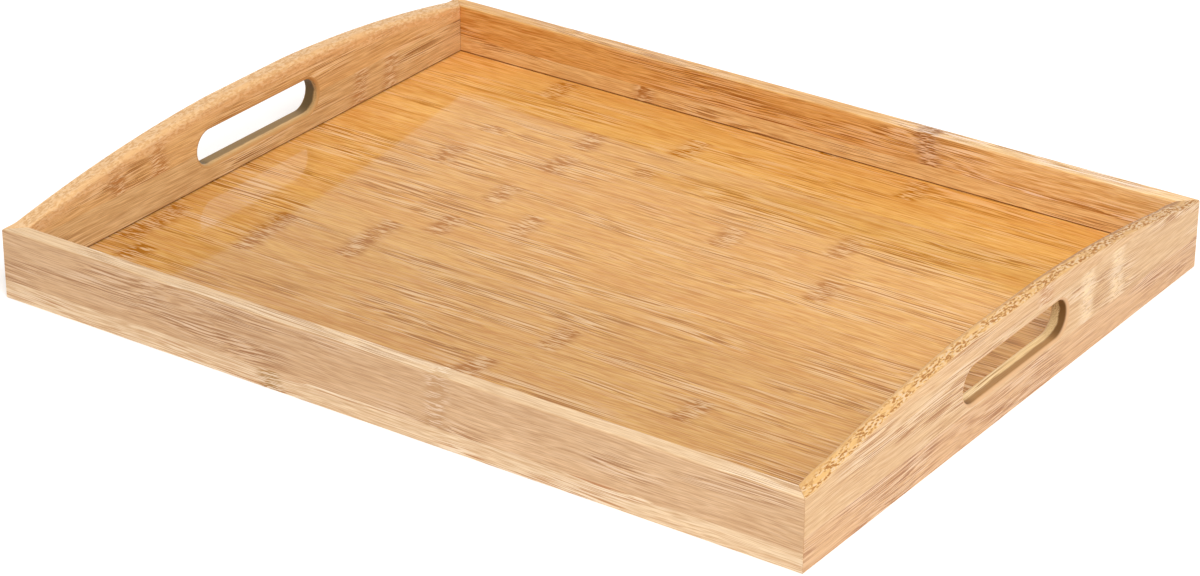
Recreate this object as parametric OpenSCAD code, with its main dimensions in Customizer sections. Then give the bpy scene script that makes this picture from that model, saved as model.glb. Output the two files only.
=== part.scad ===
// Bamboo serving tray: four mitred boards round a grooved-in floor panel.
// The boards and the floor are laminated from strips, and each strip is a sub-part of its own.
// Origin: centre of the underside. X runs along the tray, Y across it towards the rear, Z up.

/* [Tray] */
// Outside length of the tray
tray_l = 440; // [380:5:500]
// Outside width of the tray
tray_w = 352; // [300:4:400]
// Height of the front and rear rails
rail_h = 35.5; // [34:0.5:37]
// Height of the handle boards at the middle of their arch
handle_h = 51; // [49:0.5:56]
// Thickness of the rails and the handle boards
board_t = 9; // [8:0.5:11]
// Radius of the eased top edges
top_ease = 1; // [0.6:0.1:1.5]
// Radius of the softer inner edge along the arch
arch_ease = 3; // [2:0.5:4]

/* [Hand slots] */
// Length of a hand slot, end to end
slot_l = 93; // [85:1:110]
// Height of a hand slot
slot_h = 18.5; // [18:0.5:21]
// Height of a slot's centre line
slot_z = 28.5; // [28:0.5:30]
// Radius of the slot's eased rim
slot_ease = 1.6; // [1:0.1:2]

/* [Floor panel] */
// Height of the floor's upper face
floor_top = 9.5; // [9:0.5:11]
// Thickness of the floor panel
floor_t = 5; // [4:0.5:5]
// How far the panel's edges reach into the boards
tongue = 4; // [3:0.5:4.5]
// Width of a full floor strip
strip_w = 22.2; // [20:0.2:24]
// Width of the narrow make-up strip
makeup_w = 9; // [7:0.5:12]
// Width left of the strip that was trimmed at the panel's rear edge
rear_trim_w = 5.5; // [5:0.5:8]

/* [Glue lines] */
// Height of the front rail's glue line
front_glue_z = 9.5; // [8:0.5:14]
// Height of the rear rail's glue line
rear_glue_z = 18.5; // [14:0.5:22]
// Height of the left handle board's glue line
left_glue_z = 28.2; // [26:0.2:31]
// Height of the right handle board's lower glue line
right_low_glue_z = 16.5; // [14:0.5:17]
// Height of the right handle board's upper glue line
right_high_glue_z = 42; // [41:0.5:43]

/* [Hidden] */
// Gap between the floor panel's upper face and the roof of its groove
groove_gap = 0.4;
// Room behind the panel's edges in the groove
groove_room = 0.4;
// Width of the bevel down each outside corner, and radius of the lower edges
corner_bevel = 0.5;
base_ease = 0.6;
// The arch is a shallow circle, cut flat at its crown for the palm
crown_cut = 0.5;
// The arch stands this much above the rails where it starts
arch_step = 0.05;
// Height at which the arch's own wood begins, inside the board
arch_base_z = 20;
// Full strips between the panel's trimmed rear strip and its make-up strip
rear_strips = 3;
// Loose tongue in each mitre, and the room round it
spline_size = [8, 2.4, 16];
spline_z = 13;
spline_room = 0.1;
// How far cutters and slabs run past the wood
past = 1;
// Facets of an eased corner, and of whole circles
ease_steps = 5;
$fn = 96;

half_l = tray_l / 2;
half_w = tray_w / 2;
inner_x = half_l - board_t;
inner_y = half_w - board_t;
floor_base = floor_top - floor_t;
panel_l = 2 * (inner_x + tongue);
panel_w = 2 * (inner_y + tongue);

arch_rise = handle_h + crown_cut - rail_h - arch_step;
arch_r = (inner_y * inner_y + arch_rise * arch_rise) / (2 * arch_rise);
arch_centre_z = handle_h + crown_cut - arch_r;

// Distances from the panel's rear edge to each glue line
makeup_end = rear_trim_w + rear_strips * strip_w + makeup_w;
front_strips = ceil((panel_w - makeup_end) / strip_w);
floor_cuts = concat(
    [0],
    [for (i = [0 : rear_strips]) rear_trim_w + i * strip_w],
    [for (i = [0 : front_strips - 1]) makeup_end + i * strip_w],
    [panel_w]
);
floor_strips = len(floor_cuts) - 1;
function two_digits(n) = n < 10 ? str("0", n) : str(n);
function floor_strip_name(i) = str("floor_strip_", two_digits(i + 1));

rail_tan = [0.80, 0.62, 0.42];
rail_pale = [0.90, 0.74, 0.54];
inner_brown = [0.78, 0.53, 0.30];
handle_gold = [0.82, 0.60, 0.37];
handle_pink = [0.89, 0.72, 0.54];
spline_cream = [0.93, 0.82, 0.62];
floor_golds = [[0.85, 0.60, 0.30], [0.82, 0.56, 0.27], [0.88, 0.64, 0.36], [0.84, 0.61, 0.35]];

// Points of a quarter circle round c, from angle a0 to a0 + 90
function quarter(c, r, a0) =
    [for (i = [0 : ease_steps]) c + r * [cos(a0 + 90 * i / ease_steps), sin(a0 + 90 * i / ease_steps)]];

// Cross-section of a board: its outer face at x = 0, its inner face at x = board_t, from height z0
// to z1, with the top edges eased by inner_r and top_ease and the lower ones by low_r
module board_section(z0, z1, inner_r, low_r) {
    polygon(concat(
        quarter([board_t - inner_r, z1 - inner_r], inner_r, 0),
        quarter([top_ease, z1 - top_ease], top_ease, 90),
        low_r > 0 ? quarter([low_r, z0 + low_r], low_r, 180) : [[0, z0]],
        low_r > 0 ? quarter([board_t - low_r, z0 + low_r], low_r, 270) : [[board_t, z0]]
    ));
}

// A straight board of rail height along Y, its outer face at x = 0 and its inner face at x = board_t
module straight_board(length) {
    rotate([90, 0, 0])
        linear_extrude(height = length, center = true)
            board_section(0, rail_h, top_ease, base_ease);
}

// Wood of the arch above the rails: part of a great disc with eased rims, flat at its crown
module arch() {
    intersection() {
        translate([0, 0, arch_centre_z])
            rotate([0, 90, 0])
                rotate_extrude($fn = 1440)
                    mirror([1, -1])
                        board_section(0, arch_r, arch_ease, 0);
        translate([-past, -inner_y, arch_base_z])
            cube([board_t + 2 * past, 2 * inner_y, handle_h - arch_base_z]);
    }
}

// Plan of one board: the trapezoid between its mitres, with the outside corners bevelled.
// The board's outer face is at x = 0, and half is half of its outside length.
module mitred_plan(half) {
    b = corner_bevel;
    linear_extrude(height = 4 * handle_h, center = true)
        polygon([
            [0, half - b], [b / 2, half - b / 2], [board_t, half - board_t],
            [board_t, board_t - half], [b / 2, b / 2 - half], [0, b - half]
        ]);
}

// Half of the outline that eases a slot's rim: its width by its depth below the face
module rim_outline() {
    polygon(concat(
        [[0, slot_ease]],
        quarter([slot_h / 2 + slot_ease, slot_ease], slot_ease, 180),
        [[slot_h / 2 + slot_ease, -past], [0, -past]]
    ));
}

// Flare that eases the slot's rim where it meets the face at z = 0
module slot_rim(reach) {
    for (turn = [0, 180])
        rotate(turn) {
            translate([reach, 0, 0])
                rotate_extrude()
                    rim_outline();
            rotate([90, 0, 90])
                linear_extrude(height = 2 * reach, center = true)
                    rim_outline();
        }
}

// Hand slot through a board whose outer face is at x = 0, with both rims eased
module hand_slot() {
    reach = (slot_l - slot_h) / 2;
    translate([0, 0, slot_z])
        rotate([90, 0, 90]) {
            translate([0, 0, -past])
                linear_extrude(height = board_t + 2 * past) {
                    square([2 * reach, slot_h], center = true);
                    for (side = [-1, 1])
                        translate([side * reach, 0])
                            circle(d = slot_h);
                }
            slot_rim(reach);
            translate([0, 0, board_t])
                mirror([0, 0, 1])
                    slot_rim(reach);
        }
}

// Groove that runs round the inside of all four boards and holds the floor's edges
module floor_groove() {
    x = inner_x + tongue + groove_room;
    y = inner_y + tongue + groove_room;
    translate([-x, -y, floor_base])
        cube([2 * x, 2 * y, floor_t + groove_gap]);
}

// Loose tongue across the mitre of the corner on the sides given, larger all round by room
module corner_spline(side_x, side_y, room = 0) {
    inset = 0.42 * board_t;
    translate([side_x * (inner_x + inset), side_y * (inner_y + inset), spline_z])
        rotate([0, 0, -45 * side_x * side_y])
            translate([-spline_size.x / 2 - room, -spline_size.y / 2 - room, -room])
                cube(spline_size + 2 * room * [1, 1, 1]);
}

// Everything that is cut out of the boards once they stand in place
module joinery() {
    floor_groove();
    for (side_x = [-1, 1], side_y = [-1, 1])
        corner_spline(side_x, side_y, spline_room);
}

// Front or rear rail, whole: side_y is -1 for the front
module rail(side_y) {
    difference() {
        translate([0, side_y * half_w, 0])
            rotate([0, 0, -90 * side_y])
                intersection() {
                    straight_board(tray_l);
                    mitred_plan(half_l);
                }
        joinery();
    }
}

// Left or right handle board, whole: side_x is -1 for the left
module handle_board(side_x) {
    difference() {
        translate([side_x * half_l, 0, 0])
            rotate([0, 0, side_x > 0 ? 180 : 0])
                difference() {
                    intersection() {
                        union() {
                            straight_board(tray_w);
                            arch();
                        }
                        mitred_plan(half_w);
                    }
                    hand_slot();
                }
        joinery();
    }
}

// The part of a board that lies between two heights
module between(z0, z1) {
    intersection() {
        children();
        translate([-half_l - past, -half_w - past, z0])
            cube([tray_l + 2 * past, tray_w + 2 * past, z1 - z0]);
    }
}

module front_rail_lower_strip() {
    color(rail_pale) between(-past, front_glue_z) rail(-1);
}

module front_rail_upper_strip() {
    color(rail_tan) between(front_glue_z, handle_h) rail(-1);
}

module rear_rail_lower_strip() {
    color(handle_gold) between(-past, rear_glue_z) rail(1);
}

module rear_rail_upper_strip() {
    color(inner_brown) between(rear_glue_z, handle_h) rail(1);
}

module left_handle_lower_strip() {
    color(rail_tan) between(-past, left_glue_z) handle_board(-1);
}

module left_handle_upper_strip() {
    color(handle_gold) between(left_glue_z, handle_h + past) handle_board(-1);
}

module right_handle_lower_strip() {
    color(rail_tan) between(-past, right_low_glue_z) handle_board(1);
}

module right_handle_middle_strip() {
    color(handle_pink) between(right_low_glue_z, right_high_glue_z) handle_board(1);
}

module right_handle_upper_strip() {
    color(rail_pale) between(right_high_glue_z, handle_h + past) handle_board(1);
}

// One strip of the floor panel, counted from the rear
module floor_strip(i) {
    color(floor_golds[(i * 3) % len(floor_golds)])
        translate([-panel_l / 2, panel_w / 2 - floor_cuts[i + 1], floor_base])
            cube([panel_l, floor_cuts[i + 1] - floor_cuts[i], floor_t]);
}

front_rail_lower_strip();
front_rail_upper_strip();
rear_rail_lower_strip();
rear_rail_upper_strip();
left_handle_lower_strip();
left_handle_upper_strip();
right_handle_lower_strip();
right_handle_middle_strip();
right_handle_upper_strip();
color(spline_cream) corner_spline(-1, -1);  // front_left_corner_spline
color(spline_cream) corner_spline(1, -1);  // front_right_corner_spline
color(spline_cream) corner_spline(-1, 1);  // rear_left_corner_spline
color(spline_cream) corner_spline(1, 1);  // rear_right_corner_spline
for (i = [0 : floor_strips - 1])
    floor_strip(i);
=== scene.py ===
"""Bamboo serving tray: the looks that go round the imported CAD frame, in metres and in the frame's axes.

The tray is a lacquered floor panel, laminated from strips, in a groove of four mitred boards. Each strip of
the panel and of the boards is a piece of its own: a mesh at the place of its CAD node, with its own bamboo.
"""

import math

import bmesh
import bpy
from mathutils import Matrix, Vector, noise


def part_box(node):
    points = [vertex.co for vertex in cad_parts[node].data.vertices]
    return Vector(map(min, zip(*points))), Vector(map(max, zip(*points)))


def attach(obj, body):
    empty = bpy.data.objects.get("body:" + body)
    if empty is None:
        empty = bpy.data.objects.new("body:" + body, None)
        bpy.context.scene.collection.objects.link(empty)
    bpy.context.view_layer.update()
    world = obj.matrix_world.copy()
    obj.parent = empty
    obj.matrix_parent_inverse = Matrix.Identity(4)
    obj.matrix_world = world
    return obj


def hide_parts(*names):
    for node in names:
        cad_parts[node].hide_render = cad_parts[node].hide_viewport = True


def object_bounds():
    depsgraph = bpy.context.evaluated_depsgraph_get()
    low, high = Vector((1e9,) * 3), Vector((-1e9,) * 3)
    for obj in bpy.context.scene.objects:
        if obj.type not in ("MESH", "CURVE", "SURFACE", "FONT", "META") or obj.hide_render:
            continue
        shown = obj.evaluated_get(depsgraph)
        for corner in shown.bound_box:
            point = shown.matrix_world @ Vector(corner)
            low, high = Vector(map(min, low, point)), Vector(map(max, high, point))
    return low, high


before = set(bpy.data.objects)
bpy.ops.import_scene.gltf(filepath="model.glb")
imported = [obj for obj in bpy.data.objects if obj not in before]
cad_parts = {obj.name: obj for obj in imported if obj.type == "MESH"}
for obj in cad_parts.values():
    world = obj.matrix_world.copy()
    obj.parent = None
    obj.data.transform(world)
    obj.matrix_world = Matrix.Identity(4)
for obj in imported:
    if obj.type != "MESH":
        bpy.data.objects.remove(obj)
CAD_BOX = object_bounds()
MM = 0.001

# ---------------------------------------------------------------- sizes, from the frame and from joinery

HALF_L = CAD_BOX[1].x
HALF_W = CAD_BOX[1].y
HANDLE_TOP = CAD_BOX[1].z
RAIL_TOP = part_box("front_rail_upper_strip")[1].z
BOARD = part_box("front_rail_upper_strip")[1].y + HALF_W
FRONT_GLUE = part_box("front_rail_lower_strip")[1].z
REAR_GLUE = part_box("rear_rail_lower_strip")[1].z
LEFT_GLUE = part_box("left_handle_lower_strip")[1].z
RIGHT_LOW_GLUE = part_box("right_handle_lower_strip")[1].z
RIGHT_HIGH_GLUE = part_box("right_handle_middle_strip")[1].z
FLOOR_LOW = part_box("floor_strip_02")[0].z
FLOOR_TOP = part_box("floor_strip_02")[1].z

TOP_EASE = 1.0 * MM          # radius of the boards' top edges
BASE_EASE = 0.6 * MM         # radius of their lower edges
ARCH_EASE = 3.0 * MM         # softer inner edge along the arch, where the palm lies
ARCH_FADE = 16 * MM          # length over which that softer edge runs out towards the corners
CROWN_CUT = 0.5 * MM         # the arch's circle is cut flat by this much at its crown
ARCH_STEP = 0.05 * MM        # and stands this much above the rails where it starts
MITRE_EASE = 0.22 * MM       # tiny round at the mitres, which shows each joint as a hairline
GROOVE_DEPTH = 4.4 * MM
GROOVE_GAP = 0.4 * MM
GROOVE_LIP = 0.12 * MM
SLOT_LENGTH = 93 * MM
SLOT_HEIGHT = 18.5 * MM
SLOT_EASE = 1.6 * MM
SLOT_CENTRE = 28.5 * MM
QUARTER_STEPS = 6            # facets of an eased edge
RIM_STEPS = 8                # facets of a slot's round-over
SLOT_END_STEPS = 28          # facets of a slot's half-round end
RAIL_STATIONS = 40           # cross-sections along a rail
HANDLE_STATIONS = 120        # and along a handle board, which is arched
MITRE_TURNS = (0, 30, 60, 90)    # degrees round a mitre's tiny ease
ARRIS_ANGLE = 30             # degrees between faces that meet in a crisp edge
PAST = 1 * MM                # how far cutters run past the wood
SAME_PLACE = 1e-7            # points closer together than this are one point

# Every mesh starts with two places for a material: its sawn and sanded faces, and its routed ones
WOODS = [bpy.data.materials.new("sawn"), bpy.data.materials.new("routed")]
SAWN, ROUTED = 0, 1


# ---------------------------------------------------------------- mesh helpers

def mesh_object(name, bm):
    """An object from a bmesh, which is freed. Its normals point outwards."""
    bmesh.ops.recalc_face_normals(bm, faces=bm.faces)
    mesh = bpy.data.meshes.new(name)
    bm.to_mesh(mesh)
    bm.free()
    for wood in WOODS:
        mesh.materials.append(wood)
    obj = bpy.data.objects.new(name, mesh)
    bpy.context.scene.collection.objects.link(obj)
    return obj


def loft(bm, rings):
    """A closed solid through rings of points, each ring as long as the next."""
    loops = [[bm.verts.new(point) for point in ring] for ring in rings]
    for one, two in zip(loops, loops[1:]):
        for i in range(len(one)):
            j = (i + 1) % len(one)
            bm.faces.new((one[i], one[j], two[j], two[i]))
    bm.faces.new(loops[0])
    bm.faces.new(reversed(loops[-1]))


def settle(obj):
    """Applies an object's modifiers to its mesh."""
    bpy.context.view_layer.update()
    shown = obj.evaluated_get(bpy.context.evaluated_depsgraph_get())
    mesh = bpy.data.meshes.new_from_object(shown)
    obj.modifiers.clear()
    old, obj.data = obj.data, mesh
    bpy.data.meshes.remove(old)


def cut(obj, cutter):
    """Takes the cutter's shape out of an object, and the cutter out of the scene."""
    boolean = obj.modifiers.new("cut", "BOOLEAN")
    boolean.operation = "DIFFERENCE"
    boolean.solver = "EXACT"
    boolean.object = cutter
    settle(obj)
    bpy.data.objects.remove(cutter)


def smooth(obj):
    """Smooth shading with crisp arrises. Wide faces keep their own normals, and eased edges turn between."""
    obj.data.shade_smooth()
    obj.data.set_sharp_from_angle(angle=math.radians(ARRIS_ANGLE))
    weighted = obj.modifiers.new("weighted", "WEIGHTED_NORMAL")
    weighted.keep_sharp = True
    settle(obj)


def slab(obj, name, low, high):
    """A copy of a board's mesh between two heights, closed where it is sawn."""
    bm = bmesh.new()
    bm.from_mesh(obj.data)
    for height, up in ((low, -1), (high, 1)):
        everything = bm.verts[:] + bm.edges[:] + bm.faces[:]
        bmesh.ops.bisect_plane(bm, geom=everything, dist=SAME_PLACE, plane_co=(0, 0, height),
                               plane_no=(0, 0, up), clear_outer=True)
        rim = [edge for edge in bm.edges if edge.is_boundary]
        bmesh.ops.holes_fill(bm, edges=rim, sides=0)
    return mesh_object(name, bm)


# ---------------------------------------------------------------- boards

def quarter(centre, radius, start):
    """Points of a quarter circle, from the angle start, in degrees, and 90 degrees on."""
    turns = [math.radians(start + 90 * i / QUARTER_STEPS) for i in range(QUARTER_STEPS + 1)]
    return [(centre[0] + radius * math.cos(a), centre[1] + radius * math.sin(a)) for a in turns]


def board_section(inner_ease, inset):
    """Cross-section of a board as (depth from the outer face, height, whether it hangs from the top edge).

    The heights of the points that hang are measured from the top edge, so one section serves the arch."""
    far = BOARD - inset
    base = quarter((inset + BASE_EASE, inset + BASE_EASE), BASE_EASE, 180)
    base += quarter((far - BASE_EASE, inset + BASE_EASE), BASE_EASE, 270)
    roof = FLOOR_TOP + GROOVE_GAP
    wall = BOARD - GROOVE_DEPTH
    lip = GROOVE_LIP
    groove = [(far, FLOOR_LOW - lip), (far - lip, FLOOR_LOW), (wall, FLOOR_LOW)]
    groove += [(wall, roof), (far - lip, roof), (far, roof + lip)]
    top = quarter((far - inner_ease, -inset - inner_ease), inner_ease, 0)
    top += quarter((inset + TOP_EASE, -inset - TOP_EASE), TOP_EASE, 90)
    return [(v, z, False) for v, z in base + groove] + [(v, z, True) for v, z in top]


def board(name, half, height_at, inner_ease_at, stations):
    """A whole mitred board, from -half to half along X. Its outer face is at y = 0, its inner at BOARD."""
    inward = [MITRE_EASE * (1 - math.cos(math.radians(a))) for a in MITRE_TURNS]
    retreat = [MITRE_EASE * (1 - math.sin(math.radians(a))) for a in MITRE_TURNS]
    ends = list(zip(inward, retreat))
    spots = [(-1, inset, back) for inset, back in reversed(ends)]
    spots += [(2 * i / stations - 1, 0, MITRE_EASE) for i in range(1, stations)]
    spots += [(1, inset, back) for inset, back in ends]
    rings = []
    for share, inset, back in spots:
        ring = []
        for v, z, hangs in board_section(inner_ease_at(share * half), inset):
            u = share * (half - v - back)
            ring.append((u, v, height_at(u) + z if hangs else z))
        rings.append(ring)
    bm = bmesh.new()
    loft(bm, rings)
    return mesh_object(name, bm)


def arch_radius():
    """Radius of the circle that rises from the rails to the crown."""
    reach = HALF_W - BOARD
    rise = HANDLE_TOP + CROWN_CUT - RAIL_TOP - ARCH_STEP
    return (reach ** 2 + rise ** 2) / (2 * rise)


def arch_height(u):
    """Height of a handle board at u along it: a shallow circle from the rails, flat at its crown."""
    radius = arch_radius()
    arch = HANDLE_TOP + CROWN_CUT - radius + math.sqrt(radius ** 2 - u ** 2)
    return max(RAIL_TOP, min(HANDLE_TOP, arch))


def arch_inner_ease(u):
    """Radius of a handle board's inner top edge at u along it."""
    share = (HALF_W - BOARD - abs(u)) / ARCH_FADE
    share = max(0.0, min(1.0, share))
    return TOP_EASE + (ARCH_EASE - TOP_EASE) * share * share * (3 - 2 * share)


def slot_outline(grow):
    """Points round a hand slot that is larger all round by grow: (along, up)."""
    reach = (SLOT_LENGTH - SLOT_HEIGHT) / 2
    radius = SLOT_HEIGHT / 2 + grow
    points = []
    for side in (1, -1):
        for i in range(SLOT_END_STEPS + 1):
            turn = math.radians(-90 * side + 180 * i / SLOT_END_STEPS)
            points.append((side * reach + radius * math.cos(turn), SLOT_CENTRE + radius * math.sin(turn)))
    return points


def slot_cutter():
    """The shape of a hand slot through a board whose outer face is at y = 0, with both rims rounded over."""
    turns = [math.radians(90 * i / RIM_STEPS) for i in range(RIM_STEPS + 1)]
    rim = [(SLOT_EASE * (1 - math.cos(a)), SLOT_EASE * (1 - math.sin(a))) for a in turns]
    profile = [(-PAST, SLOT_EASE)] + rim
    profile += [(BOARD - depth, grow) for depth, grow in reversed(profile)]
    rings = [[(u, depth, z) for u, z in slot_outline(grow)] for depth, grow in profile]
    bm = bmesh.new()
    loft(bm, rings)
    for face in bm.faces:
        face.material_index = ROUTED
    return mesh_object("slot_cutter", bm)


def stand(obj, turn, outward):
    """Turns a board from its own axes to its side of the tray: outward is the distance of its outer face."""
    obj.data.transform(Matrix.Rotation(math.radians(turn), 4, "Z") @ Matrix.Translation((0, -outward, 0)))


def rail(turn):
    """A front or rear rail, whole."""
    whole = board("whole_rail", HALF_L, lambda u: RAIL_TOP, lambda u: TOP_EASE, RAIL_STATIONS)
    stand(whole, turn, HALF_W)
    return whole


def handle_board(turn):
    """A left or right handle board, whole, with its hand slot."""
    whole = board("whole_handle", HALF_W, arch_height, arch_inner_ease, HANDLE_STATIONS)
    cut(whole, slot_cutter())
    stand(whole, turn, HALF_L)
    return whole


def saw_up(whole, strips):
    """Cuts a board at its glue lines into strips: a list of (CAD node, lower height, upper height)."""
    made = {}
    for node, low, high in strips:
        made[node] = slab(whole, node + "_wood", low, high)
        smooth(made[node])
    bpy.data.objects.remove(whole)
    return made


# ---------------------------------------------------------------- floor panel

FLOOR_EDGE = 0.05 * MM       # eased edge between two strips
SANDING_WAVE = 0.012 * MM    # height of the sander's slow waves in the panel
WAVES_ALONG = 14             # waves in a metre of the panel's length
WAVES_ACROSS = 34            # and in a metre of its width
WAVES_SLICE = 0.7            # which waves: any number will do
FLOOR_STATIONS = 90          # cross-sections along a floor strip


def sanded(x, y):
    """How much the sander left the floor higher or lower at a place."""
    return SANDING_WAVE * noise.noise(Vector((x * WAVES_ALONG, y * WAVES_ACROSS, WAVES_SLICE)))


def floor_strip(node):
    """One strip of the floor panel, from end to end of its CAD node, with a sanded top."""
    low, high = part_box(node)
    edge = FLOOR_EDGE
    quarters = [(low.y * (4 - i) + high.y * i) / 4 for i in (1, 2, 3)]
    rows = [low.y + edge] + quarters + [high.y - edge]
    bm = bmesh.new()
    rings = []
    for i in range(FLOOR_STATIONS + 1):
        x = low.x + (high.x - low.x) * i / FLOOR_STATIONS
        ring = [(x, low.y, low.z + edge), (x, low.y + edge, low.z), (x, high.y - edge, low.z)]
        ring += [(x, high.y, low.z + edge), (x, high.y, high.z - edge + sanded(x, high.y))]
        ring += [(x, y, high.z + sanded(x, y)) for y in reversed(rows)]
        ring += [(x, low.y, high.z - edge + sanded(x, low.y))]
        rings.append(ring)
    loft(bm, rings)
    obj = mesh_object(node + "_wood", bm)
    smooth(obj)
    return obj


# ---------------------------------------------------------------- node helpers

class Graph:
    """Adds nodes to a material. Each method returns the new node's output socket."""

    def __init__(self, tree):
        self.tree = tree
        tree.nodes.clear()

    def node(self, kind, settings=(), **inputs):
        made = self.tree.nodes.new(kind)
        for name, value in dict(settings).items():
            setattr(made, name, value)
        for name, value in inputs.items():
            self.feed(made.inputs[name.replace("_", " ")], value)
        return made

    def feed(self, socket, value):
        if isinstance(value, bpy.types.NodeSocket):
            self.tree.links.new(value, socket)
        else:
            socket.default_value = value

    def maths(self, operation, *values, clamp=False):
        made = self.node("ShaderNodeMath", {"operation": operation, "use_clamp": clamp})
        for socket, value in zip(made.inputs, values):
            self.feed(socket, value)
        return made.outputs[0]

    def vector(self, operation, *values):
        made = self.node("ShaderNodeVectorMath", {"operation": operation})
        for socket, value in zip(made.inputs, values):
            self.feed(socket, value)
        return made.outputs["Value" if operation in ("LENGTH", "DOT_PRODUCT") else "Vector"]

    def total(self, start, *terms):
        """start plus the sum of weight times socket for each (weight, socket)."""
        for weight, socket in terms:
            start = self.maths("MULTIPLY_ADD", socket, weight, start)
        return start

    def step(self, value, low, high):
        """0 at low, 1 at high, smooth between. low may be the larger."""
        made = self.node("ShaderNodeMapRange", {"interpolation_type": "SMOOTHSTEP"})
        self.feed(made.inputs["Value"], value)
        if low > high:
            low, high = high, low
            made.inputs["To Min"].default_value = 1.0
            made.inputs["To Max"].default_value = 0.0
        made.inputs["From Min"].default_value = low
        made.inputs["From Max"].default_value = high
        return made.outputs["Result"]

    def mix(self, factor, one, two, blend="MIX"):
        made = self.node("ShaderNodeMix", {"data_type": "RGBA", "blend_type": blend})
        self.feed(made.inputs[0], factor)
        self.feed(made.inputs[6], one)
        self.feed(made.inputs[7], two)
        return made.outputs[2]

    def noise(self, place, detail=2.0, rough=0.5):
        made = self.node("ShaderNodeTexNoise", Vector=place, Scale=1.0, Detail=detail, Roughness=rough)
        return made.outputs["Fac"]

    def fibres(self, grain, width, length, shift=0.0, detail=2.0, rough=0.5):
        """Noise drawn out along the grain. width and length are a fibre's, in millimetres, minus its mean."""
        place = self.vector("MULTIPLY", grain, (1 / length, 1 / width, 1 / width))
        place = self.vector("ADD", place, (shift, shift * 1.7, shift * 0.6))
        return self.maths("SUBTRACT", self.noise(place, detail, rough), 0.5)


def srgb(red, green, blue):
    """A colour for a node socket, from its 0 to 255 screen values."""
    def linear(c):
        c /= 255
        return c / 12.92 if c <= 0.04045 else ((c + 0.055) / 1.055) ** 2.4
    return (linear(red), linear(green), linear(blue), 1.0)


def toned(colour, tone):
    """A colour made lighter or darker by a factor."""
    return tuple(c * tone for c in colour[:3]) + (1.0,)


def lighter(colour, share=0.18):
    """A colour moved towards white."""
    return tuple(c + (1 - c) * share for c in colour[:3]) + (1.0,)


# ---------------------------------------------------------------- bamboo

NO_PLACE = ()                # for a strip without a knuckle
BOARD_FIBRES = 0.58          # size of the boards' fibres, beside the floor's
FIBRE_SIDE = 0.48            # from a fibre's painted shade to its painted highlight, in millimetres
FIBRE_DRIFT = 4.0            # how far fibres wander over their length, in millimetres
KNUCKLE_SWIRL = 1.4          # how far they swirl beside a knuckle
KNUCKLE_SWAY = 8.0           # how far a knuckle's line bends across the strip
KNUCKLE_CORE = 2.0           # half of its strongest part, along the grain
KNUCKLE_HALF = 9.5           # half of its width along the grain
KNUCKLE_HALO = 11.0          # half of the stained band round it
KNUCKLE_LEAN = -0.05         # its strokes cross the grain at this slope


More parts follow.
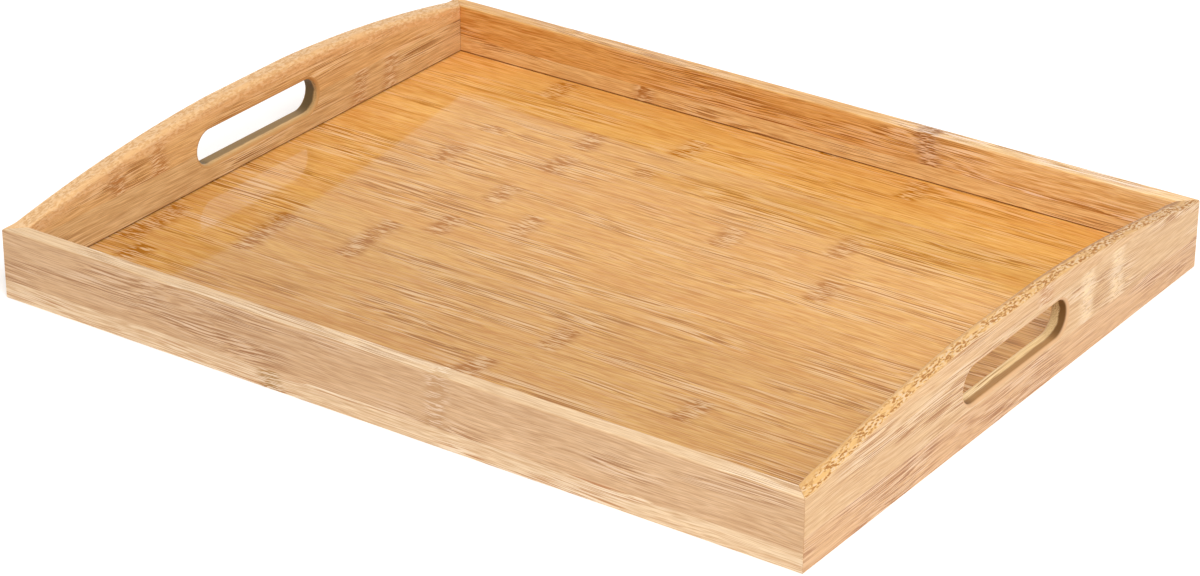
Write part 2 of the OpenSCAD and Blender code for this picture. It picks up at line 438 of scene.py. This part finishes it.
def bamboo(graph, along, seed, pale, deep, knuckles=NO_PLACE, figure=1.0, line=None, knuckle=None, size=1.0,
           stained=0.28):
    """Bamboo's colour, height and roughness pattern. along is the grain's axis, "X" or "Y".

    pale and deep are the colours of its fibres, line that of the sparse dark ones, and knuckle that of the
    joints of the culm, which lie at the places given along the grain, in millimetres. size scales the fibres,
    and stained is the strength of the band round a knuckle."""
    coords = graph.node("ShaderNodeTexCoord").outputs["Object"]
    turn = math.radians(-90) if along == "Y" else 0.0
    grain = graph.node("ShaderNodeMapping", Vector=coords, Scale=(1000, 1000, 1000)).outputs[0]
    if turn:
        grain = graph.node("ShaderNodeMapping", Vector=grain, Rotation=(0, 0, turn)).outputs[0]
    place_along = graph.node("ShaderNodeSeparateXYZ", Vector=grain).outputs["X"]

    near = 0.0
    stain = 0.0
    if knuckles:
        across = graph.vector("MULTIPLY", grain, (0.02, 1, 1))
        sway = graph.fibres(across, 13, 13, seed + 5, 2.0, 0.4)
        bowed = graph.maths("MULTIPLY_ADD", sway, KNUCKLE_SWAY, place_along)
        for place in knuckles:
            gap = graph.maths("ABSOLUTE", graph.maths("SUBTRACT", bowed, float(place)))
            near = graph.maths("MAXIMUM", near, graph.step(gap, KNUCKLE_HALF, KNUCKLE_CORE))
            stain = graph.maths("MAXIMUM", stain, graph.step(gap, KNUCKLE_HALO, 0.0))

    wander = graph.fibres(grain, 22, 80, seed + 1, 1.0)
    drift = graph.maths("MULTIPLY", wander, FIBRE_DRIFT)
    if knuckles:
        swirl = graph.fibres(grain, 5, 9, seed + 2, 1.0)
        drift = graph.maths("MULTIPLY_ADD", graph.maths("MULTIPLY", swirl, stain), KNUCKLE_SWIRL, drift)
    offset = graph.node("ShaderNodeCombineXYZ", X=0.0, Y=drift, Z=drift).outputs[0]
    bent = graph.vector("ADD", grain, offset)
    beside = graph.vector("ADD", bent, (0, FIBRE_SIDE * size, FIBRE_SIDE * size))

    slow = graph.fibres(grain, 26, 160, seed + 3, 2.0)
    broad = graph.fibres(bent, 3.2 * size, 120, seed + 4, 2.0, 0.5)
    main = graph.fibres(bent, 1.2 * size, 40, seed + 6, 1.0, 0.5)
    fine = graph.fibres(bent, 1.0 * size, 11, seed + 7, 1.0, 0.6)
    ridge = graph.fibres(bent, 0.85 * size, 40, seed + 8, 1.0)
    shade = graph.fibres(beside, 0.85 * size, 40, seed + 8, 1.0)
    relief = graph.maths("SUBTRACT", ridge, shade)
    crowd = graph.step(graph.fibres(grain, 14, 70, seed + 9, 1.0), -0.05, 0.13)
    crowd = graph.maths("MULTIPLY_ADD", crowd, 0.75, 0.25)
    # dark marks the sparse dark fibres and is painted shade beside each ridge; light is a painted highlight
    # on its other side
    dark = graph.maths("MULTIPLY", graph.step(relief, 0.05, 0.12), crowd)
    light = graph.maths("MULTIPLY", graph.step(relief, -0.05, -0.12), crowd)

    tone = graph.total(0.5, (0.8 * figure, broad), (0.6 * figure, main), (2.1 * figure, fine), (0.9, slow))
    colour = graph.mix(graph.maths("ADD", tone, 0.0, clamp=True), deep, pale)
    colour = graph.mix(graph.maths("MULTIPLY", dark, 0.95 * figure), colour, line)
    colour = graph.mix(graph.maths("MULTIPLY", light, 0.82 * figure), colour, lighter(pale))
    height = graph.total(0.0, (0.5, fine), (0.5, main), (-0.45, dark))
    if knuckles:
        lean = graph.maths("MULTIPLY", place_along, KNUCKLE_LEAN)
        lean = graph.node("ShaderNodeCombineXYZ", X=0.0, Y=lean, Z=lean).outputs[0]
        strokes = graph.fibres(graph.vector("ADD", bent, lean), 0.85 * size, 12, seed + 10, 1.0)
        mark = graph.maths("MULTIPLY", graph.step(strokes, 0.0, 0.06), near)
        gleam = graph.maths("MULTIPLY", graph.step(strokes, -0.02, -0.10), near)
        smudge = graph.maths("MULTIPLY_ADD", stain, stained, graph.maths("MULTIPLY", mark, 0.90), clamp=True)
        colour = graph.mix(smudge, colour, knuckle)
        colour = graph.mix(graph.maths("MULTIPLY", gleam, 0.75), colour, lighter(pale))
        height = graph.total(height, (-0.4, mark), (0.3, gleam))
    return colour, height, fine, grain


def finish_material(graph, colour, rough, height, depth, gloss, coat=0.0, coat_rough=0.1, wave=None):
    """The lacquer and the surface relief over a bamboo colour. depth is the relief's, in metres."""
    shader = graph.node("ShaderNodeBsdfPrincipled", Base_Color=colour, Roughness=rough)
    shader.inputs["IOR"].default_value = 1.5
    shader.inputs["Specular IOR Level"].default_value = gloss
    shader.inputs["Coat IOR"].default_value = 1.45
    shader.inputs["Coat Weight"].default_value = coat
    shader.inputs["Coat Roughness"].default_value = coat_rough
    bump = graph.node("ShaderNodeBump", Strength=1.0, Distance=depth, Height=height)
    graph.feed(shader.inputs["Normal"], bump.outputs[0])
    if wave is not None:
        film = graph.node("ShaderNodeBump", Strength=1.0, Distance=depth * 0.12, Height=wave)
        graph.feed(shader.inputs["Coat Normal"], film.outputs[0])
    output = graph.node("ShaderNodeOutputMaterial")
    graph.tree.links.new(shader.outputs[0], output.inputs["Surface"])


def new_graph(name):
    material = bpy.data.materials.new(name)
    material.use_nodes = True
    return material, Graph(material.node_tree)


def facing_up(graph, low, high):
    """1 where the surface faces up, 0 where it faces sideways."""
    normal = graph.node("ShaderNodeNewGeometry").outputs["Normal"]
    up = graph.node("ShaderNodeSeparateXYZ", Vector=normal).outputs["Z"]
    return graph.step(up, low, high)


def worn_and_lit_edges(graph):
    """1 on eased edges, whose normals lie between those of the boards' faces."""
    normal = graph.node("ShaderNodeNewGeometry").outputs["Normal"]
    parts = graph.node("ShaderNodeSeparateXYZ", Vector=graph.vector("ABSOLUTE", normal)).outputs
    most = graph.maths("MAXIMUM", graph.maths("MAXIMUM", parts[0], parts[1]), parts[2])
    return graph.step(most, 0.955, 0.80)


GROOVE_TINT = (0.34, 0.15, 0.06, 1.0)    # what the shaded gap over the floor panel is multiplied by


def groove_shade(graph, colour, grain, half):
    """Darkens the line where the floor panel enters a board, half of the tray's size from its middle."""
    parts = graph.node("ShaderNodeSeparateXYZ", Vector=grain).outputs
    middle = (FLOOR_TOP + GROOVE_GAP / 2) / MM
    gap = graph.maths("ABSOLUTE", graph.maths("SUBTRACT", parts["Z"], middle))
    inside = graph.step(graph.maths("ABSOLUTE", parts["Y"]), half / MM - 4, half / MM - 5)
    shade = graph.maths("MULTIPLY", graph.step(gap, 0.75, 0.40), inside)
    return graph.mix(shade, colour, GROOVE_TINT, "MULTIPLY")


SATIN = 0.42                 # roughness of the boards
BOARD_RELIEF = 0.10 * MM     # depth of their fibres


def board_material(name, along, seed, pale, deep, line, knuckle, knuckles=NO_PLACE, top=None, figure=1.0,
                   turned=None):
    """Satin bamboo of a rail or a handle board. top is the painted highlight that its upper face fades to.

    turned is (place, place, tint): between the two places along the grain, in millimetres, the wood's colour
    comes to be multiplied by the tint."""
    material, graph = new_graph(name)
    colour, height, fine, grain = bamboo(graph, along, seed, pale, deep, knuckles, figure, line, knuckle,
                                         BOARD_FIBRES)
    if turned is not None:
        start, end, tint = turned
        along_grain = graph.node("ShaderNodeSeparateXYZ", Vector=grain).outputs["X"]
        colour = graph.mix(graph.step(along_grain, start, end), colour, tint, "MULTIPLY")
    if top is not None:
        # painted highlight: the faces that look up are lightened towards the top colour
        tint = tuple(upper / face for upper, face in zip(top, pale))
        lit = graph.maths("MULTIPLY", facing_up(graph, 0.55, 0.9), 0.75)
        colour = graph.mix(lit, colour, tint, "MULTIPLY")
    colour = groove_shade(graph, colour, grain, HALF_W if along == "X" else HALF_L)
    patches = graph.step(graph.fibres(grain, 5, 22, seed + 20, 2.0), -0.15, 0.15)
    # wear and a painted highlight: eased edges are lightened towards the pale colour
    wear_and_sheen = graph.maths("MULTIPLY", worn_and_lit_edges(graph), graph.maths("MULTIPLY_ADD", patches, 0.25, 0.15))
    colour = graph.mix(wear_and_sheen, colour, pale)
    roughness = graph.total(SATIN, (0.30, fine), (0.14, wear_and_sheen))
    finish_material(graph, colour, roughness, height, BOARD_RELIEF, gloss=0.3, coat=0.12, coat_rough=0.35)
    return material


def below_arch(graph, grain):
    """Depth of a place on a handle board below the arch, in millimetres."""
    radius = arch_radius() / MM
    parts = graph.node("ShaderNodeSeparateXYZ", Vector=grain).outputs
    square = graph.maths("SUBTRACT", radius ** 2, graph.maths("MULTIPLY", parts["X"], parts["X"]))
    arch = graph.maths("ADD", graph.maths("SQRT", square), (HANDLE_TOP + CROWN_CUT) / MM - radius)
    return graph.maths("SUBTRACT", arch, parts["Z"])


ARCH_FAR_SHADE = (0.84, 0.80, 0.78, 1.0)  # painted shade: the right arch's top is multiplied by this towards the rear


def arch_material(name, seed, pale, deep, line, knuckle, knuckles, pit, gold, inner, curled=0.0,
                  stained=0.30):
    """Handle board whose arched top shows the cut ends of its fibres, pitted beside the outer face.

    gold and inner are the arch's colours at its outer and its inner edge. curled is how far its fibres curl
    on the faces below it, in millimetres."""
    material, graph = new_graph(name)
    colour, height, fine, grain = bamboo(graph, "Y", seed, pale, deep, knuckles, 1.0, line, knuckle,
                                         BOARD_FIBRES, stained)
    above = facing_up(graph, 0.80, 0.96)
    if curled:
        ruffle = graph.fibres(grain, 6, 14, seed + 32, 2.0)
        depth = graph.maths("MULTIPLY_ADD", ruffle, 6.0, below_arch(graph, grain))
        curls = graph.maths("MULTIPLY", graph.step(depth, curled, curled * 0.4), 0.8)
        above = graph.maths("MAXIMUM", above, curls)
    parts = graph.node("ShaderNodeSeparateXYZ", Vector=grain).outputs
    along = parts["X"]
    across = graph.maths("ABSOLUTE", parts["Y"])
    face = HALF_L / MM
    ragged = graph.maths("MULTIPLY_ADD", graph.fibres(grain, 2.5, 6, seed + 31, 2.0), 3.5, across)
    outward = graph.step(ragged, face - 7.0, face - 4.8)
    hollow = graph.step(across, face - 4.5, face - 5.0)
    rounded = graph.maths("MULTIPLY", facing_up(graph, 0.10, 0.45), hollow)
    above = graph.maths("MAXIMUM", above, rounded)
    far = graph.step(along, -60.0, 60.0)
    inward = graph.maths("MULTIPLY", graph.maths("SUBTRACT", 1.0, outward),
                         graph.maths("MULTIPLY_ADD", far, 0.7, 0.3))
    top = graph.mix(inward, gold, inner)
    if not curled:
        # painted shade, darker towards the rear end of the right arch's top
        top = graph.mix(graph.step(along, 10.0, 120.0), top, ARCH_FAR_SHADE, "MULTIPLY")
    colour = graph.mix(graph.maths("MULTIPLY", above, 0.85), colour, top)
    ends = graph.fibres(grain, 1.1, 2.6, seed + 30, 1.5, 0.6)
    share = 0.9 if curled else 0.12
    patchy = graph.step(graph.fibres(grain, 4, 12, seed + 33, 1.0), -0.20, 0.0)
    strength = graph.maths("MULTIPLY", graph.maths("MULTIPLY", above, patchy),
                           graph.maths("MULTIPLY_ADD", outward, 1 - share, share))
    pits = graph.maths("MULTIPLY", graph.step(ends, 0.01, 0.07), strength)
    glints = graph.maths("MULTIPLY", graph.step(ends, -0.02, -0.10), strength)
    colour = graph.mix(graph.maths("MULTIPLY", pits, 0.35 if curled else 0.75), colour, pit)
    shine = graph.maths("MULTIPLY", glints, 0.45 if curled else 0.65)
    colour = graph.mix(shine, colour, lighter(pale, 0.2))
    height = graph.total(height, (-1.2, pits), (0.5, glints))
    # wear and a painted highlight: eased edges are lightened towards the pale colour
    wear_and_sheen = graph.maths("MULTIPLY", worn_and_lit_edges(graph), 0.2)
    colour = graph.mix(wear_and_sheen, colour, pale)
    roughness = graph.total(SATIN, (0.30, fine), (0.25, pits))
    finish_material(graph, colour, roughness, height, BOARD_RELIEF, gloss=0.18, coat=0.05, coat_rough=0.35)
    return material


def routed_material(name, seed, pale, deep, scorch, rim, edge, side):
    """Walls of a hand slot, which the router scorched outside the edge and at both ends, where it lingered.

    rim is the colour of the sanded rims. edge is in millimetres, outwards from the middle of the board.
    side is -1 on the left, 1 on the right."""
    material, graph = new_graph(name)
    colour, height, fine, grain = bamboo(graph, "Y", seed, pale, deep, NO_PLACE, 0.8, scorch, scorch,
                                         BOARD_FIBRES)
    parts = graph.node("ShaderNodeSeparateXYZ", Vector=grain).outputs
    half_board = BOARD / 2 / MM
    outward = graph.maths("MULTIPLY_ADD", parts["Y"], -side, half_board - HALF_L / MM)
    uneven = graph.maths("MULTIPLY_ADD", graph.fibres(grain, 3, 9, seed + 50, 2.0), 1.6, outward)
    burnt = graph.step(uneven, edge - 0.5, edge + 0.6)
    end = SLOT_LENGTH / 2 / MM
    lingered = graph.step(graph.maths("ABSOLUTE", parts["X"]), end - 14, end - 3)
    colour = graph.mix(graph.maths("MULTIPLY", burnt, 0.88), colour, scorch)
    lingered = graph.maths("MULTIPLY", lingered, graph.maths("MULTIPLY_ADD", burnt, 0.58, 0.30))
    colour = graph.mix(lingered, colour, toned(scorch, 0.45))
    clean = graph.step(graph.maths("ABSOLUTE", outward), half_board - 1.4, half_board - 0.4)
    colour = graph.mix(graph.maths("MULTIPLY", clean, 0.85), colour, rim)
    roughness = graph.total(0.45, (0.3, fine))
    finish_material(graph, colour, roughness, height, BOARD_RELIEF, gloss=0.1)
    return material


FLOOR_RELIEF = 0.06 * MM     # depth of the floor's fibres under its lacquer
LEFT_END_PAINTED_LIGHT = (1.10, 1.12, 1.20, 1.0)      # painted light: the floor's left end is multiplied by this
PAINTED_LIGHT_START = -155.0          # where that begins, in millimetres
PAINTED_LIGHT_FULL = -178.0           # and where it is complete


def floor_material(name, seed, pale, deep, line, knuckle, knuckles, figure):
    """Glossy lacquered bamboo of the floor panel."""
    material, graph = new_graph(name)
    colour, height, fine, grain = bamboo(graph, "X", seed, pale, deep, knuckles, figure, line, knuckle)
    along = graph.node("ShaderNodeSeparateXYZ", Vector=grain).outputs["X"]
    # painted light, brightening the floor towards its left end
    colour = graph.mix(graph.step(along, PAINTED_LIGHT_START, PAINTED_LIGHT_FULL), colour, LEFT_END_PAINTED_LIGHT, "MULTIPLY")
    roughness = graph.total(0.5, (0.3, fine))
    wave = graph.total(0.0, (1.0, fine), (2.0, graph.fibres(grain, 5, 60, seed + 40, 1.0)))
    finish_material(graph, colour, roughness, height, FLOOR_RELIEF, gloss=0.05, coat=0.68, coat_rough=0.075,
                    wave=wave)
    return material


def spline_material():
    """Bare bamboo of the loose tongues in the mitres."""
    material, graph = new_graph("spline_bamboo")
    colour, height, fine, grain = bamboo(graph, "X", 71.0, srgb(240, 214, 166), srgb(222, 186, 130),
                                         line=srgb(190, 150, 95), knuckle=srgb(170, 120, 70))
    finish_material(graph, colour, graph.total(0.6, (0.2, fine)), height, 0.12 * MM, gloss=0.2)
    return material


# ---------------------------------------------------------------- the pieces and their woods

def place_piece(obj, node, sawn, routed=None):
    """Gives a finished strip its materials and its body, and hides the CAD node that it stands for."""
    obj.data.materials[SAWN] = sawn
    if routed is None:
        obj.data.materials.pop(index=ROUTED)
    else:
        obj.data.materials[ROUTED] = routed
    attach(obj, "root")
    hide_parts(node)


def make_front_rail():
    strips = saw_up(rail(0), [("front_rail_lower_strip", -PAST, FRONT_GLUE),
                              ("front_rail_upper_strip", FRONT_GLUE, HANDLE_TOP)])
    # top is a painted highlight on the rail's upper face
    upper = board_material("rail_tan", "X", 11.0, srgb(226, 186, 142), srgb(192, 148, 104),
                           srgb(160, 106, 60), srgb(192, 146, 99), (32,), top=srgb(254, 223, 178),
                           figure=0.85, turned=(60.0, -60.0, (0.93, 0.90, 0.86, 1.0)))
    lower = board_material("rail_cream", "X", 12.0, srgb(238, 208, 168), srgb(209, 170, 126),
                           srgb(188, 130, 82), srgb(172, 124, 62), (-61,), figure=1.2)
    place_piece(strips["front_rail_upper_strip"], "front_rail_upper_strip", upper)
    place_piece(strips["front_rail_lower_strip"], "front_rail_lower_strip", lower)


def make_rear_rail():
    strips = saw_up(rail(180), [("rear_rail_lower_strip", -PAST, REAR_GLUE),
                                ("rear_rail_upper_strip", REAR_GLUE, HANDLE_TOP)])
    # top is a painted highlight on the rail's upper face
    upper = board_material("rail_brown_upper", "X", 13.0, srgb(246, 188, 108), srgb(206, 134, 54),
                           srgb(168, 98, 30), srgb(158, 92, 36), (76,), top=srgb(247, 197, 126),
                           turned=(10.0, 130.0, (1.16, 1.42, 2.10, 1.0)))
    lower = board_material("rail_brown_lower", "X", 14.0, srgb(254, 211, 142), srgb(222, 164, 94),
                           srgb(178, 116, 58), srgb(186, 120, 56), (-93,))
    place_piece(strips["rear_rail_upper_strip"], "rear_rail_upper_strip", upper)
    place_piece(strips["rear_rail_lower_strip"], "rear_rail_lower_strip", lower)


def make_left_handle():
    strips = saw_up(handle_board(-90), [("left_handle_lower_strip", -PAST, LEFT_GLUE),
                                        ("left_handle_upper_strip", LEFT_GLUE, HANDLE_TOP + PAST)])
    upper = arch_material("handle_gold_upper", 15.0, srgb(244, 199, 136), srgb(206, 156, 98),
                          srgb(164, 110, 58), srgb(192, 134, 78), (-105, -75), srgb(190, 130, 74),
                          srgb(240, 192, 136), srgb(238, 186, 128), curled=9.0)
    lower = board_material("handle_gold_lower", "Y", 16.0, srgb(236, 197, 140), srgb(200, 156, 102),
                           srgb(158, 110, 64), srgb(188, 136, 84), (81, 106))
    routed = routed_material("handle_gold_routed", 41.0, srgb(232, 190, 130), srgb(204, 158, 100),
                             srgb(138, 112, 72), srgb(204, 156, 100), -1.8, -1)
    place_piece(strips["left_handle_upper_strip"], "left_handle_upper_strip", upper, routed)
    place_piece(strips["left_handle_lower_strip"], "left_handle_lower_strip", lower, routed)


def make_right_handle():
    strips = saw_up(handle_board(90), [("right_handle_lower_strip", -PAST, RIGHT_LOW_GLUE),
                                       ("right_handle_middle_strip", RIGHT_LOW_GLUE, RIGHT_HIGH_GLUE),
                                       ("right_handle_upper_strip", RIGHT_HIGH_GLUE, HANDLE_TOP + PAST)])
    pit = srgb(160, 92, 28)
    gold = srgb(236, 186, 114)
    inner = srgb(182, 128, 72)
    lower = board_material("handle_pale_lower", "Y", 17.0, srgb(220, 176, 127), srgb(190, 138, 88),
                           srgb(160, 102, 54), srgb(186, 128, 84))
    middle = arch_material("handle_pale_middle", 18.0, srgb(226, 190, 144), srgb(202, 157, 109),
                           srgb(170, 116, 70), srgb(240, 208, 164), (65, 94), pit, gold, inner,
                           stained=0.05)
    crown = arch_material("handle_crown", 19.0, srgb(227, 189, 142), srgb(203, 155, 106),
                          srgb(170, 116, 70), srgb(190, 134, 86), (24,), pit, gold, inner)
    routed = routed_material("handle_pale_routed", 43.0, srgb(244, 212, 156), srgb(222, 184, 128),
                             srgb(156, 110, 60), srgb(226, 182, 138), 0.2, 1)
    place_piece(strips["right_handle_lower_strip"], "right_handle_lower_strip", lower)
    place_piece(strips["right_handle_middle_strip"], "right_handle_middle_strip", middle,
                routed)
    place_piece(strips["right_handle_upper_strip"], "right_handle_upper_strip", crown)


# Knuckles of each floor strip, in millimetres along the tray, from the rear strip to the front one
FLOOR_KNUCKLES = [(20,), (-139, 76), (-42,), (-87,), (-43, -136), (-84, 83), (-136, 31), (-86, 100), (-56,),
                  (-88,), (-110,), (-155, -108), (26, -204, -153), (114, -204), (12, -190), (60,), (-30,)]
# How light each floor strip is beside the standard: its own tone, and painted light that is brighter at the
# rear
FLOOR_TONE_AND_LIGHT = [1.21, 1.04, 1.04, 1.00, 1.02, 1.00, 0.99, 0.96, 0.95,
               0.92, 0.87, 0.82, 0.82, 0.79, 0.78, 0.80, 0.82]
FLOOR_PALE = srgb(238, 182, 98)
FLOOR_DEEP = srgb(214, 144, 62)
FLOOR_LINE = srgb(178, 112, 28)
FLOOR_KNUCKLE = srgb(184, 112, 8)
FLOOR_FIGURE = 1.05          # strength of the grain, which is calmer in the rear strips


def make_floor_panel():
    for i, (knuckles, tone) in enumerate(zip(FLOOR_KNUCKLES, FLOOR_TONE_AND_LIGHT), 1):
        node = f"floor_strip_{i:02d}"
        seed = 20.0 + 3.7 * i
        # tone is the strip's own tone and painted light together
        colours = [toned(c, tone) for c in (FLOOR_PALE, FLOOR_DEEP, FLOOR_LINE, FLOOR_KNUCKLE)]
        figure = min(FLOOR_FIGURE, 0.70 + 0.05 * i)
        material = floor_material(f"floor_bamboo_{i:02d}", seed, *colours, knuckles, figure)
        place_piece(floor_strip(node), node, material)


def dress_splines():
    material = spline_material()
    for node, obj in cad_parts.items():
        if node.endswith("corner_spline"):
            obj.data.materials.clear()
            obj.data.materials.append(material)


# ---------------------------------------------------------------- studio

CAMERA_PLACE = (0.9156, -1.3238, 0.7953)
CAMERA_TURN = (63.614, -0.414, 34.485)
CAMERA_LENS = 113.784
CAMERA_SHIFT = -0.025
STAGE_HALF = 30.0
STAGE_DROP = 0.05 * MM       # the paper lies this far below the tray
PAPER_GREY = (0.82, 0.82, 0.82, 1)
PAPER_GLOW = 0.35            # lifts the shadows on the paper, as in a studio with white walls
WORLD_LIGHT = 0.60
BACKDROP_LIGHT = 1.0
BACKDROP_SIDE = (-0.50, 0.74, 0.44)      # the way to the brighter backdrop
KEY_PLACE = (1.25, -0.85, 1.75)
KEY_SIZE = 1.1
KEY_POWER = 31
FELT_BLACK = (0.02, 0.02, 0.02, 1)
FLAG_BEHIND = 0.30           # how far behind the tray's middle the dark card stands
FLAG_CORNERS = [(-0.22, 0.124), (-0.06, 0.109), (0.16, 0.109), (0.16, 0.132), (-0.02, 0.130)]


def area_light(name, place, size, power):
    """A square soft box that points at the tray. It shows in the tray's gloss, but not to the camera."""
    light = bpy.data.lights.new(name, "AREA")
    light.shape = "SQUARE"
    light.size = size
    light.energy = power
    obj = bpy.data.objects.new(name, light)
    obj.location = place
    obj.rotation_euler = (-Vector(place)).to_track_quat("-Z", "Y").to_euler()
    obj.visible_camera = False
    bpy.context.scene.collection.objects.link(obj)


def make_world():
    """White all round, brighter low behind the tray, where the lacquer mirrors it."""
    world = bpy.data.worlds.new("studio_white")
    world.use_nodes = True
    graph = Graph(world.node_tree)
    direction = graph.node("ShaderNodeTexCoord").outputs["Generated"]
    nearness = graph.vector("DOT_PRODUCT", direction, Vector(BACKDROP_SIDE).normalized())
    glow = graph.step(nearness, 0.55, 0.86)
    strength = graph.maths("MULTIPLY_ADD", glow, BACKDROP_LIGHT - WORLD_LIGHT, WORLD_LIGHT)
    background = graph.node("ShaderNodeBackground", Color=(1, 1, 1, 1), Strength=strength)
    output = graph.node("ShaderNodeOutputWorld")
    graph.tree.links.new(background.outputs[0], output.inputs["Surface"])
    return world


def make_flag():
    """A narrow dark card behind the tray. Only gloss sees it, as the clear streak in the floor's far side."""
    bm = bmesh.new()
    bm.faces.new([bm.verts.new((x, FLAG_BEHIND, z)) for x, z in FLAG_CORNERS])
    flag = mesh_object("studio_flag", bm)
    material, graph = new_graph("studio_felt")
    felt = graph.node("ShaderNodeBsdfDiffuse", Color=FELT_BLACK)
    output = graph.node("ShaderNodeOutputMaterial")
    graph.tree.links.new(felt.outputs[0], output.inputs["Surface"])
    flag.data.materials.clear()
    flag.data.materials.append(material)
    flag.visible_camera = False
    flag.visible_diffuse = False
    flag.visible_shadow = False


def make_paper():
    """The pale floor under the tray, wide enough to be a plain backdrop."""
    bm = bmesh.new()
    corners = [(-STAGE_HALF, -STAGE_HALF), (STAGE_HALF, -STAGE_HALF), (STAGE_HALF, STAGE_HALF),
               (-STAGE_HALF, STAGE_HALF)]
    bm.faces.new([bm.verts.new((x, y, -STAGE_DROP)) for x, y in corners])
    floor = mesh_object("studio_floor", bm)
    material, graph = new_graph("studio_paper")
    paper = graph.node("ShaderNodeBsdfDiffuse", Color=PAPER_GREY)
    lift = graph.node("ShaderNodeEmission", Color=(1, 1, 1, 1), Strength=PAPER_GLOW)
    both = graph.node("ShaderNodeAddShader")
    graph.tree.links.new(paper.outputs[0], both.inputs[0])
    graph.tree.links.new(lift.outputs[0], both.inputs[1])
    output = graph.node("ShaderNodeOutputMaterial")
    graph.tree.links.new(both.outputs[0], output.inputs["Surface"])
    floor.data.materials.clear()
    floor.data.materials.append(material)


def make_camera():
    """The camera at the photograph's angle."""
    scene = bpy.context.scene
    camera = bpy.data.objects.new("camera", bpy.data.cameras.new("camera"))
    camera.location = CAMERA_PLACE
    camera.rotation_euler = [math.radians(a) for a in CAMERA_TURN]
    camera.data.lens = CAMERA_LENS
    camera.data.shift_x = CAMERA_SHIFT
    scene.collection.objects.link(camera)
    scene.camera = camera


def make_studio():
    scene = bpy.context.scene
    scene.view_settings.view_transform = "Standard"
    scene.world = make_world()
    make_paper()
    make_flag()
    area_light("key_box", KEY_PLACE, KEY_SIZE, KEY_POWER)
    make_camera()


make_front_rail()
make_rear_rail()
make_left_handle()
make_right_handle()
make_floor_panel()
dress_splines()
make_studio()

bpy.context.view_layer.update()
